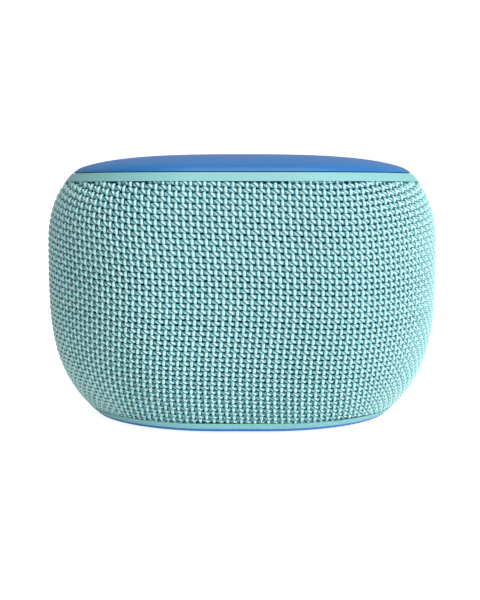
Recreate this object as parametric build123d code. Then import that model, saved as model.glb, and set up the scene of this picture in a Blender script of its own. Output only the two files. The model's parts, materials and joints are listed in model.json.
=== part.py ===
"""Portable wireless loudspeaker: a cloth-covered pillow-shaped body with a domed top.

The body is a rounded square in plan that swells to its widest just above mid height.
Millimetres, +Z up, the front of the speaker faces -Y. The origin is on the floor at
the middle of the foot. Each part is written to parts/NODE.step.
"""

import math
import os

from build123d import *

# Outer form
body_width = 92.0  # across the cloth where the body is widest
corner_radius = 31.0  # plan radius of the body's corners
foot_proud = 0.6  # the foot pad stands this far below the base plate
widest_z = 39.3  # height of the widest section
form_top_z = 58.2  # top edge of the upper trim ring
upper_draw_in = 5.1  # how far the form narrows from its widest to form_top_z
lower_draw_in = 9.75  # and down to the base plate's lower edge
upper_fullness = 3.0  # exponents of the two curves
lower_fullness = 3.55
section_step = 4.5  # spacing of the loft's sections

# Cloth, grille frame and trim rings
cloth_thickness = 1.4
frame_wall = 2.0
glue_gap = 0.05  # between the cloth and the frame
base_rim_height = 0.65
lower_trim_height = 1.4
upper_trim_height = 1.9
lower_trim_depth = 3.4
upper_trim_depth = 4.0
fit_gap = 0.1  # between rigid parts that slot together
hole_radius = 1.4  # perforations of the grille frame
hole_pitch = 4.4
front_holes = (11, 8)  # across and up
side_holes = (6, 7)
hole_field_z = 28.5  # centre height of the perforated fields

# Top cover and keys
cover_shadow_gap = 0.2  # open line between the cover and the upper trim ring
cover_inset = 0.4
cover_rise = 4.6
cover_wall = 2.0
cover_plan_exponent = 3.0  # a higher one keeps the dome full further out
cover_rise_exponent = 1.6  # a lower one leans the dome's edge inwards
cover_section_shares = (1, 0.97, 0.91, 0.83, 0.73, 0.62, 0.5, 0.38, 0.26, 0.14)  # of its width
flange_height = 1.2
skirt_wall = 1.6
key_gap = 0.25
key_travel = 0.4
key_stem_radius = 1.5
key_flange_reach = 0.9
key_flange_thickness = 0.8
key_rest_gap = 0.3  # between a key's flange and the cover above it
symbol_depth = 0.3
symbol_stroke = 0.9
key_row_y = 0.0
key_back_y = 16.0
play_radius = 6.5
side_key_radius = 5.2
back_key_radius = 4.2
side_key_x = 16.0
back_key_x = 7.5
light_pipe_radius = 0.8
light_pipe_y = 25.5

# Base plate, foot and their screws
base_plate_thickness = 2.5
foot_half_width = 31.0
foot_corner = 24.0
foot_recess = 0.5
foot_groove_width = 2.0
foot_groove_depth = 0.4
base_screw_x = 20.0
screw_head_radius = 2.1
screw_head_height = 1.2
screw_radius = 1.2
screw_play = 0.05
base_screw_length = 3.8
boss_radius = 4.0

# Cabinet: the sealed acoustic box
cabinet_half = 33.0
cabinet_corner = 20.0
cabinet_wall = 2.5
cabinet_floor_z = 4.5
cabinet_rim_z = 45.0
lid_thickness = 2.5
lid_margin = 0.4  # between the lid's edge and the grille frame
lid_plug_depth = 2.0
lid_seal = 0.6

# Driver, 40 mm, axis along Y, facing -Y
driver_z = 24.8
driver_radius = 20.0
driver_hole_radius = driver_radius - 2.4
driver_gasket_thickness = 0.5
driver_flange_thickness = 1.2
driver_flange_inner = driver_radius - 3.6
basket_depth = 12.0
basket_rear_radius = 0.6 * driver_radius
basket_wall = 1.0
basket_windows = 4
surround_outer = driver_radius - 3.7
surround_inner = driver_radius - 6.6
surround_rise = 1.5
surround_lip = 0.5  # reach of the glued lip past the roll
cone_radius = surround_inner - 0.2
cone_depth = 5.5
cone_thickness = 0.5
coil_radius = 6.2
coil_wall = 0.4
coil_length = 9.0
dust_cap_rise = 1.8
magnet_radius = 0.775 * driver_radius
magnet_thickness = 6.0
top_plate_thickness = 2.0
yoke_thickness = 2.2
yoke_radius = 0.7 * driver_radius
pole_radius = 5.4
coil_gap = 0.35
driver_screw_circle = driver_radius - 1.7
driver_screw_radius = 0.75
driver_screw_length = 4.5

# Passive radiators, one on each side
radiator_radius = 17.0
radiator_hole_radius = 14.0
radiator_frame_thickness = 1.5
radiator_surround_inner = 10.6
radiator_plate_radius = 10.4
radiator_plate_thickness = 1.2
radiator_weight_radius = 5.0
radiator_weight_thickness = 2.0
radiator_roll_rise = 1.3

# Battery
battery_size = (36.0, 12.0, 33.0)
battery_corner = 3.0
battery_lift = 0.5  # above the cabinet's floor
battery_pad_thickness = 2.0
battery_pad_margin = 5.0  # of the pad inside the battery's outline

# Main board, its switches and standoffs
board_half = 26.0
board_corner = 5.0
board_thickness = 1.2
standoff_height = 2.5
standoff_radius = 2.5
board_screw_x = 22.0
switch_size = (6.0, 6.0, 1.1)
switch_plunger_radius = 1.4
switch_plunger_height = 0.4

# Rear charging port and its cover
port_z = 35.0
panel_size = (26.0, 12.0)  # across and up
panel_corner = 5.0
panel_set_back = 0.1  # of its face from the widest cloth
panel_flange_reach = 1.5
panel_flange_thickness = 1.0
flap_size = (21.0, 8.0)
flap_corner = 3.2
flap_thickness = 1.3
flap_gap = 0.15
flap_notch_radius = 1.6
usb_width = 8.94
usb_height = 3.2
usb_depth = 7.5
usb_wall = 0.3
usb_tongue = (6.7, 0.7)
usb_tongue_set_back = 0.8
port_board_thickness = 1.0
ledge_thickness = 2.0
port_board_width = 21.0
port_screw_x = 8.0

# Wires
wire_radius = 0.6
wire_spacing = 1.6
lead_rise = 1.2  # of a lead above what it crosses
lead_row_y = 1.2  # of each pair of leads from the grommet's middle
terminal_width = 7.0
grommet_radius = 4.0
grommet_y = 12.0

# Heights and places that follow from the sizes above
half_body = body_width / 2
base_z = foot_proud
lower_trim_z = base_z + base_rim_height
cloth_bottom_z = lower_trim_z + lower_trim_height
cloth_top_z = form_top_z - upper_trim_height
cover_z = form_top_z + cover_shadow_gap
frame_inset = cloth_thickness + glue_gap
frame_inner_inset = frame_inset + frame_wall
lid_top_z = cabinet_rim_z + lid_thickness
board_z = lid_top_z + standoff_height
board_top_z = board_z + board_thickness
switch_top_z = board_top_z + switch_size[2] + switch_plunger_height
base_top_z = base_z + base_plate_thickness
base_screw_seat_z = base_z + foot_recess + screw_head_height + fit_gap
panel_face_y = half_body - panel_set_back
recess_floor_y = panel_face_y - flap_thickness - flap_gap
cabinet_inner = cabinet_half - cabinet_wall
battery_low_z = cabinet_floor_z + cabinet_wall + battery_lift
battery_rear_y = cabinet_inner - fit_gap - battery_pad_thickness
terminal_top_z = driver_z + magnet_radius + lead_rise


def half_width(z):
    """Half the body's width at height z."""
    if z >= widest_z:
        share = (z - widest_z) / (form_top_z - widest_z)
        return half_body - upper_draw_in * share**upper_fullness
    share = (widest_z - z) / (widest_z - base_z)
    return half_body - lower_draw_in * share**lower_fullness


def rounded_square(half, corner, z):
    """A flat rounded square centred on the axis at height z."""
    return Pos(0, 0, z) * RectangleRounded(2 * half, 2 * half, corner)


def form(inset, low, high):
    """The body's outer form between two heights, drawn in by inset all round."""
    steps = max(2, math.ceil((high - low) / section_step))
    heights = [low + (high - low) * i / steps for i in range(steps + 1)]
    return loft(
        [rounded_square(half_width(z) - inset, corner_radius - inset, z) for z in heights]
    )


def prism(half, corner, low, high):
    """A straight rounded-square block between two heights."""
    return extrude(rounded_square(half, corner, low), high - low)


def disc(radius, low, high, x=0.0, y=0.0):
    """An upright cylinder between two heights."""
    height = high - low
    return Pos(x, y, low + height / 2) * Cylinder(radius, height)


def block(x0, x1, y0, y1, z0, z1):
    """A box between two corners."""
    return Pos((x0 + x1) / 2, (y0 + y1) / 2, (z0 + z1) / 2) * Box(x1 - x0, y1 - y0, z1 - z0)


def outward(front_y):
    """Stands a part modelled with +Z outward on a driver axis that faces -Y."""
    return Pos(0, front_y, driver_z) * Rot(90, 0, 0)


def ring(outer, inner, low, high):
    """An upright ring between two heights."""
    return disc(outer, low, high) - disc(inner, low - 1, high + 1)


def corners(x, y=None):
    """The four places (+-x, +-y)."""
    y = x if y is None else y
    return [(sx * x, sy * y) for sx in (-1, 1) for sy in (-1, 1)]


def cover_height(reach, half, rise):
    """Height of the domed cover above its edge, at a distance from the axis."""
    return rise * (1 - (reach / half) ** cover_plan_exponent) ** (1 / cover_rise_exponent)


def dome(half, rise, low):
    """A crowned rounded-square cap with an upright edge."""
    sections = []
    for share in cover_section_shares:
        corner = (corner_radius - cover_inset) * share * half / cover_half
        height = cover_height(share, 1, rise)
        sections.append(rounded_square(half * share, corner, low + height))
    return loft(sections)


cover_half = half_width(form_top_z) - cover_inset
skirt_half = half_width(form_top_z) - upper_trim_depth - fit_gap
skirt_corner = corner_radius - upper_trim_depth - fit_gap
inner_rise = cover_rise - cover_wall
key_reach = side_key_x + side_key_radius + key_flange_reach
key_flange_top = (
    cover_z + cover_height(key_reach, cover_half - cover_wall, inner_rise) - key_rest_gap
)

keys = {
    "key_play": (0.0, key_row_y, play_radius),
    "key_volume_down": (-side_key_x, key_row_y, side_key_radius),
    "key_volume_up": (side_key_x, key_row_y, side_key_radius),
    "key_power": (-back_key_x, key_back_y, back_key_radius),
    "key_pair": (back_key_x, key_back_y, back_key_radius),
}


# Outer shells


def fabric_cover():
    """The stretched cloth sleeve, with an opening for the port panel."""
    sleeve = form(0, cloth_bottom_z, cloth_top_z)
    sleeve -= form(cloth_thickness, cloth_bottom_z - 0.5, cloth_top_z + 0.5)
    return sleeve - port_cut(2 * fit_gap)


def port_cut(gap):
    """The port panel's outline with a gap all round, cut through the rear wall."""
    outline = RectangleRounded(
        panel_size[0] + 2 * gap, panel_size[1] + 2 * gap, panel_corner + gap
    )
    rear = Plane(origin=(0, half_body + 2, port_z), x_dir=(-1, 0, 0), z_dir=(0, 1, 0))
    return extrude(rear * outline, -(frame_inner_inset + 6))


def hole_field(counts):
    """Round holes on a square grid, as cylinders along +Z from the plane."""
    spots = GridLocations(hole_pitch, hole_pitch, *counts)
    return Sketch() + [spot * Circle(hole_radius) for spot in spots]


def grille_frame():
    """The rigid shell under the cloth, perforated in front of driver and radiators."""
    shell = form(frame_inset, cloth_bottom_z, cloth_top_z)
    shell -= form(frame_inner_inset, cloth_bottom_z - 0.5, cloth_top_z + 0.5)
    front = Plane(origin=(0, 0, hole_field_z), x_dir=(1, 0, 0), z_dir=(0, -1, 0))
    side = Plane(origin=(0, 0, hole_field_z), x_dir=(0, 1, 0), z_dir=(1, 0, 0))
    shell -= extrude(front * hole_field(front_holes), half_body)
    shell -= extrude(side * hole_field(side_holes), half_body, both=True)
    return shell - port_cut(fit_gap)


def upper_trim_ring():
    """The band between the cloth and the top cover."""
    outer = form(0, cloth_top_z, form_top_z)
    return outer - prism(
        skirt_half + fit_gap, skirt_corner + fit_gap, cloth_top_z - 1, form_top_z + 1
    )


def lower_trim_ring():
    """The band between the cloth and the base plate."""
    outer = form(0, lower_trim_z, cloth_bottom_z)
    inner_half = half_width(lower_trim_z) - lower_trim_depth
    inner_corner = corner_radius - lower_trim_depth
    return outer - prism(inner_half, inner_corner, lower_trim_z - 1, cloth_bottom_z + 1)


def base_plate():
    """The bottom plate: a rim in the body's form under a smaller raised plate."""
    plate = form(0, base_z, lower_trim_z)
    spigot_half = half_width(lower_trim_z) - lower_trim_depth - fit_gap
    spigot_corner = corner_radius - lower_trim_depth - fit_gap
    plate += prism(spigot_half, spigot_corner, lower_trim_z, base_top_z)
    recess_top = base_z + foot_recess
    plate -= prism(
        foot_half_width + fit_gap, foot_corner + fit_gap, base_z - 1, recess_top
    )
    for x, y in corners(base_screw_x):
        plate -= disc(screw_radius + fit_gap, 0, base_top_z + 1, x, y)
        plate -= disc(screw_head_radius + fit_gap, recess_top - 1, base_screw_seat_z, x, y)
    return plate


def foot_pad():
    """The rubber foot, with a groove round its underside."""
    pad = prism(foot_half_width, foot_corner, 0, foot_proud + foot_recess)
    outer_half = foot_half_width - foot_groove_width
    inner_half = outer_half - foot_groove_width
    outer_corner = foot_corner - foot_groove_width
    inner_corner = outer_corner - foot_groove_width
    groove = prism(outer_half, outer_corner, -1, foot_groove_depth)
    groove -= prism(inner_half, inner_corner, -2, foot_groove_depth + 1)
    return pad - groove


def screw(head_radius, head_height, radius, length):
    """A pan-head screw with a cross recess; its head sits on z = 0, shank down."""
    body = disc(head_radius, 0, head_height)
    body = fillet(body.edges().sort_by(Axis.Z)[-1], head_height * 0.45)
    body += disc(radius, -length, 0)
    slot = 1.3 * head_radius
    width = 0.3 * head_radius
    depth = 0.5 * head_height
    cross = Pos(0, 0, head_height) * (Box(slot, width, 2 * depth) + Box(width, slot, 2 * depth))
    return body - cross


def base_screws():
    """Four screws that hold the base plate to the cabinet, heads down."""
    one = screw(screw_head_radius, screw_head_height, screw_radius, base_screw_length)
    flipped = Rot(180, 0, 0) * one
    return Compound([Pos(x, y, base_screw_seat_z) * flipped for x, y in corners(base_screw_x)])


# Top cover and controls


def cover_body():
    """The top cover's outer solid, which the keys are also cut from."""
    return dome(cover_half, cover_rise, cover_z)


def top_cover(outer):
    """The domed cover with its skirt, flange and openings for the keys."""
    cover = outer - dome(cover_half - cover_wall, inner_rise, cover_z - 0.001)
    rim = prism(cover_half, corner_radius - cover_inset, cover_z, cover_z + flange_height)
    rim -= prism(
        skirt_half - skirt_wall, skirt_corner - skirt_wall, cover_z - 1, cover_z + 3
    )
    cover += rim & outer
    skirt = prism(skirt_half, skirt_corner, lid_top_z, cover_z + flange_height / 2)
    skirt -= prism(
        skirt_half - skirt_wall, skirt_corner - skirt_wall, lid_top_z - 1, cover_z + 2
    )
    cover += skirt
    for x, y, radius in keys.values():
        cover -= disc(radius + key_gap, cover_z - 0.5, cover_z + cover_rise + 1, x, y)
    cover -= disc(light_pipe_radius + screw_play, cover_z, cover_z + 6, 0, light_pipe_y)
    notch = wire_spacing * 2
    cover -= block(-notch, notch, 0, half_body, lid_top_z - 1, lid_top_z + 3)
    return cover


def symbol(name, radius):
    """The flat mark engraved in a key's face."""
    arm = radius * 0.9
    if name == "key_volume_up":
        return Rectangle(arm, symbol_stroke) + Rectangle(symbol_stroke, arm)
    if name == "key_volume_down":
        return Rectangle(arm, symbol_stroke)
    if name == "key_play":
        arrow = Polygon((-0.5 * arm, -0.42 * arm), (0.1 * arm, 0), (-0.5 * arm, 0.42 * arm), align=None)
        bars = [Pos(at * arm, 0) * Rectangle(symbol_stroke, 0.84 * arm) for at in (0.28, 0.56)]
        return arrow + bars[0] + bars[1]
    circle = Circle(0.5 * arm + symbol_stroke / 2) - Circle(0.5 * arm - symbol_stroke / 2)
    if name == "key_power":
        gap = Pos(0, 0.5 * arm) * Rectangle(2.6 * symbol_stroke, arm)
        return (circle - gap) + Pos(0, 0.4 * arm) * Rectangle(symbol_stroke, 0.7 * arm)
    return circle + Circle(symbol_stroke * 0.7)


def key(name, outer):
    """One key: a cap that continues the dome, a retaining flange and a stem."""
    x, y, radius = keys[name]
    cap = disc(radius, key_flange_top, cover_z + cover_rise + 1, x, y) & outer
    mark = extrude(Pos(x, y, cover_z) * symbol(name, radius), cover_rise + 1)
    cap -= mark - Pos(0, 0, -symbol_depth) * outer
    flange_bottom = key_flange_top - key_flange_thickness
    flange = disc(radius + key_flange_reach, flange_bottom, key_flange_top, x, y)
    stem_bottom = switch_top_z + key_travel + fit_gap
    return cap + flange + disc(key_stem_radius, stem_bottom, flange_bottom, x, y)


def status_light_pipe(outer):
    """The clear rod that carries the status light up to the cover's face."""
    rod = disc(light_pipe_radius, board_top_z + 1.0, cover_z + 6, 0, light_pipe_y)
    low_part = disc(light_pipe_radius, board_top_z + 1.0, cover_z + 0.5, 0, light_pipe_y)
    return (rod & outer) + low_part


# Cabinet


def cabinet_tub():
    """The acoustic box: walls, floor, screw bosses and the port board's ledge."""
    tub = prism(cabinet_half, cabinet_corner, cabinet_floor_z, cabinet_rim_z)
    tub -= prism(
        cabinet_inner,
        cabinet_corner - cabinet_wall,
        cabinet_floor_z + cabinet_wall,
        cabinet_rim_z + 1,
    )
    for x, y in corners(base_screw_x):
        tub += disc(boss_radius, base_top_z, cabinet_floor_z + cabinet_wall / 2, x, y)
        tip = base_screw_seat_z + base_screw_length + fit_gap
        tub -= disc(screw_radius + screw_play, base_top_z - 1, tip, x, y)
    tub -= outward(0) * disc(driver_hole_radius, cabinet_inner - 1, cabinet_half + 1)
    for place in driver_screw_places():
        tub -= place * disc(driver_screw_radius + screw_play, -driver_screw_length, 1)
    for side in (-1, 1):
        tub -= radiator_axis(side) * disc(radiator_hole_radius, -cabinet_wall - 1, 1)
    ledge_top = port_z - usb_height / 2 - port_board_thickness
    half = port_board_width / 2
    ledge_low = ledge_top - ledge_thickness
    tub += block(-half, half, cabinet_half - 0.5, port_board_end_y(), ledge_low, ledge_top)
    for x in (-port_screw_x, port_screw_x):
        tub -= disc(
            driver_screw_radius + screw_play, ledge_low - 1, ledge_top + 1, x, port_screw_y()
        )
    return tub


def cabinet_lid():
    """The deck that closes the box, spans to the grille frame and carries the board."""
    edge = half_width(lid_top_z) - frame_inner_inset - lid_margin
    lid = prism(edge, corner_radius - frame_inner_inset - lid_margin, cabinet_rim_z + lid_seal, lid_top_z)
    plug_half = cabinet_inner - fit_gap
    plug_corner = cabinet_corner - cabinet_wall - fit_gap
    plug_low = cabinet_rim_z + lid_seal - lid_plug_depth
    plug = prism(plug_half, plug_corner, plug_low, cabinet_rim_z + lid_seal)
    plug -= prism(plug_half - 2, plug_corner - 2, plug_low - 1, cabinet_rim_z + lid_seal)
    lid += plug
    for x, y in corners(board_screw_x):
        lid += disc(standoff_radius, lid_top_z, board_z, x, y)
        lid -= disc(driver_screw_radius + screw_play, cabinet_rim_z + 1, board_z + 1, x, y)
    lid -= disc(grommet_radius - 1 + fit_gap, cabinet_rim_z - 1, lid_top_z + 1, 0, grommet_y)
    notch = wire_spacing * 2
    lid -= block(-notch, notch, cabinet_half + 0.6, half_body, cabinet_rim_z, lid_top_z + 1)
    return lid


def lid_gasket():
    """The foam seal between the tub's rim and the lid."""
    low, high = cabinet_rim_z, cabinet_rim_z + lid_seal
    seal = prism(cabinet_half - 0.3, cabinet_corner - 0.3, low, high)
    return seal - prism(cabinet_inner, cabinet_corner - cabinet_wall, low - 1, high + 1)


# Driver: each piece is modelled with +Z outward from the baffle's face at z = 0


def driver_screw_places():
    """Where the driver's four screws go, on the baffle's outer face."""
    lift = driver_gasket_thickness + driver_flange_thickness
    places = []
    for turn in range(4):
        angle = math.radians(45 + 90 * turn)
        x, y = driver_screw_circle * math.cos(angle), driver_screw_circle * math.sin(angle)
        places.append(outward(-cabinet_half) * Pos(x, y, lift))
    return places


def driver_gasket():
    """The foam ring under the driver's flange."""
    seal = ring(driver_radius, driver_hole_radius + 0.1, 0, driver_gasket_thickness)
    seal = outward(-cabinet_half) * seal
    for place in driver_screw_places():
        seal -= place * disc(driver_screw_radius + fit_gap, -4, 1)
    return seal


def driver_basket():
    """The pressed frame: flange, slotted cone and rear seat for the magnet."""
    face = driver_gasket_thickness
    top = face + driver_flange_thickness
    outer_rim = driver_hole_radius - 0.3
    rear = top - basket_depth
    profile = Polyline(
        (driver_flange_inner, top),
        (driver_radius, top),
        (driver_radius, face),
        (outer_rim, face),
        (basket_rear_radius + basket_wall, rear),
        (coil_radius + coil_wall + 1.3, rear),
        (coil_radius + coil_wall + 1.3, rear + basket_wall),
        (basket_rear_radius, rear + basket_wall),
        (driver_flange_inner, face),
        close=True,
    )
    basket = revolve(make_face(Plane.XZ * profile), Axis.Z)
    for turn in range(basket_windows):
        window = block(basket_rear_radius - 1.5, driver_radius, -5, 5, rear + 2.5, -1.0)
        basket -= Rot(0, 0, 45 + turn * 360 / basket_windows) * window
    basket = outward(-cabinet_half) * basket
    for place in driver_screw_places():
        basket -= place * disc(driver_screw_radius + fit_gap, -4, 1)
    return basket


def half_roll(inner, outer, rise, thickness, seat):
    """A rubber half-roll ring between two radii, its edges on height seat."""
    middle, radius = (inner + outer) / 2, (outer - inner) / 2
    over = EllipticalCenterArc((middle, seat), radius, rise, start_angle=0, arc_size=180)
    under = EllipticalCenterArc(
        (middle, seat), radius - thickness, rise - thickness, start_angle=0, arc_size=180
    )
    left = Line((inner, seat), (inner + thickness, seat))
    right = Line((outer - thickness, seat), (outer, seat))
    return revolve(make_face(Plane.XZ * (over + under + left + right)), Axis.Z)


def driver_surround():
    """The rubber roll round the cone's edge."""
    seat = driver_gasket_thickness + driver_flange_thickness
    roll = half_roll(surround_inner, surround_outer, surround_rise, 0.4, seat)
    lip = ring(surround_outer + surround_lip, surround_outer - 0.4, seat, seat + 0.4)
    return outward(-cabinet_half) * (roll + lip)


def cone_neck_z():
    """Height of the cone's neck above the baffle's face."""
    return driver_gasket_thickness + driver_flange_thickness - cone_depth


def driver_cone():
    """The paper cone."""
    rim, neck = cone_neck_z() + cone_depth, cone_neck_z()
    inner = coil_radius + coil_wall
    profile = Polyline(
        (inner, neck),
        (cone_radius, rim),
        (cone_radius, rim + cone_thickness),
        (inner, neck + cone_thickness * 1.4),
        close=True,
    )
    return outward(-cabinet_half) * revolve(make_face(Plane.XZ * profile), Axis.Z)


def driver_dust_cap():
    """The small dome over the cone's neck."""
    low = cone_neck_z() + 0.8
    outer_ball = (coil_radius**2 + dust_cap_rise**2) / (2 * dust_cap_rise)
    cap = Pos(0, 0, low + dust_cap_rise - outer_ball) * Sphere(outer_ball)
    cap -= Pos(0, 0, low + dust_cap_rise - outer_ball) * Sphere(outer_ball - 0.4)
    return outward(-cabinet_half) * (cap & disc(coil_radius, low, low + 5))


def driver_voice_coil():
    """The coil's former with its winding."""
    top = cone_neck_z() + 0.7
    former = ring(coil_radius + coil_wall, coil_radius, top - coil_length, top)
    return outward(-cabinet_half) * former


def magnet_levels():
    """Heights of the motor's faces: top plate front, magnet front, yoke front, yoke back."""
    front = driver_gasket_thickness + driver_flange_thickness - basket_depth
    magnet_front = front - top_plate_thickness
    yoke_front = magnet_front - magnet_thickness
    return front, magnet_front, yoke_front, yoke_front - yoke_thickness


def driver_top_plate():
    """The steel ring that the basket is staked to."""
    front, magnet_front, _, _ = magnet_levels()
    inner = coil_radius + coil_wall + coil_gap
    return outward(-cabinet_half) * ring(yoke_radius, inner, magnet_front, front)


def driver_magnet():
    """The ferrite ring."""
    _, magnet_front, yoke_front, _ = magnet_levels()
    magnet = ring(magnet_radius, coil_radius + 2.5, yoke_front, magnet_front)
    return outward(-cabinet_half) * magnet


def driver_yoke():
    """The back plate with its pole piece."""
    front, _, yoke_front, back = magnet_levels()
    yoke = disc(yoke_radius, back, yoke_front) + disc(pole_radius, yoke_front, front)
    return outward(-cabinet_half) * yoke


def driver_screws():
    """Four small screws through the driver's flange."""
    one = screw(1.4, 0.8, driver_screw_radius, driver_screw_length)
    return Compound([place * one for place in driver_screw_places()])


# Passive radiators: modelled with +Z outward from the side wall's face


def radiator_axis(side):
    """Stands a part with +Z outward on the left (-1) or right (1) cabinet wall."""
    return Pos(side * cabinet_half, 0, driver_z) * Rot(0, side * 90, 0)


def radiator_frame(side):
    """The plastic ring glued to the cabinet's side."""
    frame = ring(radiator_radius, radiator_hole_radius, 0, radiator_frame_thickness)
    return radiator_axis(side) * frame


def radiator_surround(side):
    """The rubber roll of a radiator."""
    seat = radiator_frame_thickness
    roll = half_roll(
        radiator_surround_inner, radiator_hole_radius, radiator_roll_rise, 0.5, seat
    )
    lip = ring(radiator_hole_radius + 1.2, radiator_hole_radius - 0.5, seat, seat + 0.5)
    return radiator_axis(side) * (roll + lip)


def radiator_plate(side):
    """The moving plate of a radiator."""
    plate = disc(
        radiator_plate_radius, 0.9, radiator_frame_thickness + radiator_plate_thickness
    )
    return radiator_axis(side) * plate


def radiator_weight(side):
    """The steel disc that tunes a radiator."""
    weight = disc(radiator_weight_radius, 0.9 - radiator_weight_thickness, 0.9)
    return radiator_axis(side) * weight


# Battery, boards and wiring


def battery_pad():
    """Foam between the battery and the cabinet's rear wall."""
    half = battery_size[0] / 2 - battery_pad_margin
    low = battery_low_z + battery_pad_margin
    high = battery_low_z + battery_size[2] - battery_pad_margin
    return block(-half, half, battery_rear_y, battery_rear_y + battery_pad_thickness, low, high)


def battery():
    """The lithium pouch cell, standing against the rear wall."""
    x, y, z = battery_size
    front_y = battery_rear_y - y
    cell = block(-x / 2, x / 2, front_y, battery_rear_y, battery_low_z, battery_low_z + z)
    return fillet(cell.edges().filter_by(Axis.X), battery_corner)


def main_board():
    """The circuit board on the lid's standoffs."""
    board = prism(board_half, board_corner, board_z, board_top_z)
    for x, y in corners(board_screw_x):
        board -= disc(driver_screw_radius + fit_gap, board_z - 1, board_top_z + 1, x, y)
    return board


def board_screws():
    """Four screws that hold the main board."""
    one = screw(1.6, 0.9, driver_screw_radius, board_thickness + standoff_height)
    return Compound([Pos(x, y, board_top_z) * one for x, y in corners(board_screw_x)])


def tact_switches():
    """One tactile switch under each key."""
    length, width, height = switch_size
    top = board_top_z + height
    switches = []
    for x, y, _ in keys.values():
        body = block(x - length / 2, x + length / 2, y - width / 2, y + width / 2, board_top_z, top)
        plunger = disc(switch_plunger_radius, top, switch_top_z, x, y)
        switches.append(body + plunger)
    return Compound(switches)


def board_components():
    """The larger chips on the main board, and the status light's diode."""
    low = board_top_z
    sizes = [(-8, -14, 7, 7, 0.9), (6, -15, 5, 5, 0.9), (16, -14, 6, 5, 3.0), (-18, -13, 4, 8, 2.2)]
    chips = [
        block(x - w / 2, x + w / 2, y - d / 2, y + d / 2, low, low + h)
        for x, y, w, d, h in sizes
    ]
    chips.append(block(-1, 1, light_pipe_y - 0.5 - 1, light_pipe_y - 0.5, low, low + 0.8))
    return Compound(chips)


def port_board_end_y():
    """The rear edge of the port board and its ledge."""
    return half_body - frame_inner_inset - panel_flange_thickness - 1.2


def port_screw_y():
    """Where the port board's screws stand."""
    return (cabinet_half + port_board_end_y()) / 2


def port_board():
    """The small board that carries the charging socket."""
    top = port_z - usb_height / 2
    half = port_board_width / 2
    y0, y1 = cabinet_half + 0.2, port_board_end_y()
    board = block(-half, half, y0, y1, top - port_board_thickness, top)
    for x in (-port_screw_x, port_screw_x):
        board -= disc(driver_screw_radius + fit_gap, top - 3, top + 1, x, port_screw_y())
    return board


def port_screws():
    """Two screws that hold the port board to its ledge."""
    one = screw(1.4, 0.8, driver_screw_radius, port_board_thickness + ledge_thickness)
    top = port_z - usb_height / 2
    return Compound([Pos(x, port_screw_y(), top) * one for x in (-port_screw_x, port_screw_x)])


def socket_outline(grow):
    """The charging socket's stadium outline, grown all round."""
    width, height = usb_width + 2 * grow, usb_height + 2 * grow
    return RectangleRounded(width, height, height / 2 - 0.01)


def rear_plane(y):
    """A plane that faces the rear at depth y, centred on the port."""
    return Plane(origin=(0, y, port_z), x_dir=(-1, 0, 0), z_dir=(0, 1, 0))


def usb_shell():
    """The socket's drawn steel shell, open to the rear."""
    mouth = rear_plane(recess_floor_y)
    shell = extrude(mouth * socket_outline(0), -usb_depth)
    return shell - extrude(mouth * socket_outline(-usb_wall), -(usb_depth - usb_wall))


def usb_tongue_part():
    """The contact tongue inside the socket."""
    mouth = rear_plane(recess_floor_y - usb_tongue_set_back)
    length = usb_depth - usb_wall - usb_tongue_set_back
    return extrude(mouth * Rectangle(*usb_tongue), -length)


def port_panel():
    """The rear panel: a framed recess for the flap, with the socket's opening."""
    inner_y = half_body - frame_inner_inset - 0.35
    face = rear_plane(panel_face_y)
    panel = extrude(face * RectangleRounded(*panel_size, panel_corner), -(panel_face_y - inner_y))
    reach = 2 * panel_flange_reach
    flange = RectangleRounded(
        panel_size[0] + reach, panel_size[1] + reach, panel_corner + panel_flange_reach
    )
    panel += extrude(rear_plane(inner_y) * flange, -panel_flange_thickness)
    recess = RectangleRounded(
        flap_size[0] + 2 * flap_gap, flap_size[1] + 2 * flap_gap, flap_corner + flap_gap
    )
    panel -= extrude(face * recess, -(flap_thickness + flap_gap))
    panel = fillet(panel.faces().sort_by(Axis.Y)[-1].outer_wire().edges(), 0.35)
    return panel - extrude(face * socket_outline(fit_gap), -10)


def port_flap():
    """The soft cover over the socket, with a fingernail notch in its upper edge."""
    face = rear_plane(panel_face_y)
    flap = extrude(face * RectangleRounded(*flap_size, flap_corner), -flap_thickness)
    notch_z = port_z + flap_size[1] / 2
    notch = Pos(0, panel_face_y, notch_z) * Sphere(flap_notch_radius * 0.6)
    bead = flap_thickness * 0.35
    rib = extrude(face * RectangleRounded(flap_size[0] - 3, flap_size[1] - 3, flap_corner - 1.5), -0.3)
    rib -= extrude(
        face * RectangleRounded(flap_size[0] - 3 - 2 * bead, flap_size[1] - 3 - 2 * bead, flap_corner - 1.5 - bead),
        -0.5,
    )
    return flap - notch - rib


def wire(points, radii):
    """A round lead along straight runs joined by tangent arcs."""
    path = FilletPolyline(*points, radius=radii)
    start = Plane(origin=path @ 0, z_dir=path % 0)
    return sweep(start * Circle(wire_radius), path=path)


def lead_pair(points, radii):
    """Two wires side by side in X."""
    halves = []
    for shift in (-wire_spacing / 2, wire_spacing / 2):
        moved = [(x + shift, y, z) for x, y, z in points]
        halves.append(wire(moved, radii))
    return Compound(halves)


def battery_leads():
    """The battery's two leads, up through the grommet to the board."""
    low = battery_low_z + battery_size[2]
    over = low + lead_rise + wire_radius
    y1 = battery_rear_y - battery_size[1] / 2
    points = [(0, y1, low), (0, y1, over), (0, grommet_y + lead_row_y, over)]
    points.append((0, grommet_y + lead_row_y, board_z))
    return lead_pair(points, [lead_rise, 2 * lead_rise])


def speaker_leads():
    """The driver's two leads, from its terminal up through the grommet to the board."""
    start_y, end_y = terminal_rear_y(), grommet_y - lead_row_y
    points = [(0, start_y, terminal_top_z), (0, end_y, terminal_top_z), (0, end_y, board_z)]
    return lead_pair(points, [2 * lead_rise])


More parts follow.
